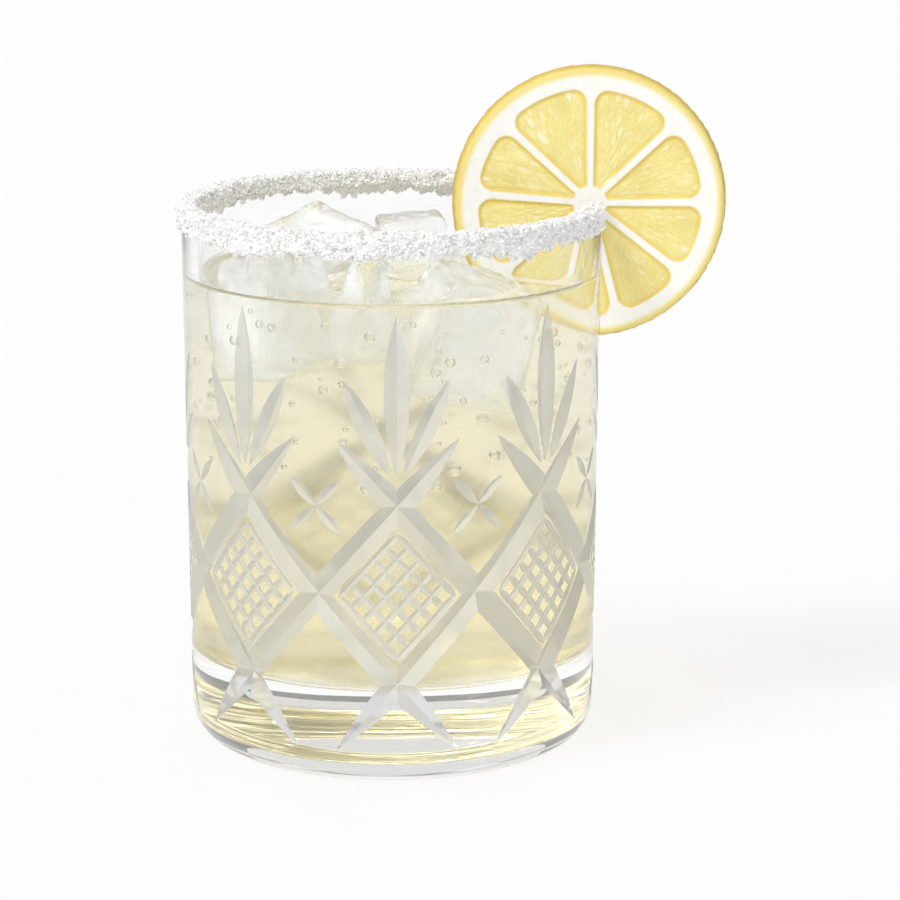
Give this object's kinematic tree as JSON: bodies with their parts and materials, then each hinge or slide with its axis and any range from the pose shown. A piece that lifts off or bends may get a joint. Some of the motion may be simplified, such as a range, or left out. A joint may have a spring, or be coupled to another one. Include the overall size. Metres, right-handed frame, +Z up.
{
  "type": "gin fizz in a cut-glass tumbler",
  "caption": "Pale lemon gin fizz on ice in a heavy cut-glass tumbler with a diamond and fan pattern, a sugared rim and a lemon wheel on the lip.",
  "frame": {"origin": "centre of the tumbler's foot, on the table", "axes": "+Z up the tumbler's axis; the lemon wheel hangs on the lip at +X and lies in the XZ plane; -Y faces the viewer"},
  "size_m": [0.1105, 0.0866, 0.1377],
  "materials": {
    "cut_glass": "clear, polished cuts",
    "sugar": "crystalline crust",
    "drink": "clear liquid with small bubbles",
    "lemon": "moist pulp, white pith, waxy yellow rind",
    "ice": "wet ice with a cloudy heart"
  },
  "bodies": {
    "root": {"tumbler": "cut_glass", "sugar_rim": "sugar", "drink": "drink", "lemon_wheel": "lemon", "ice_peak": "ice", "ice_flat": "ice", "ice_round": "ice", "ice_shard": "ice", "ice_front": "ice"}
  },
  "joints": []
}
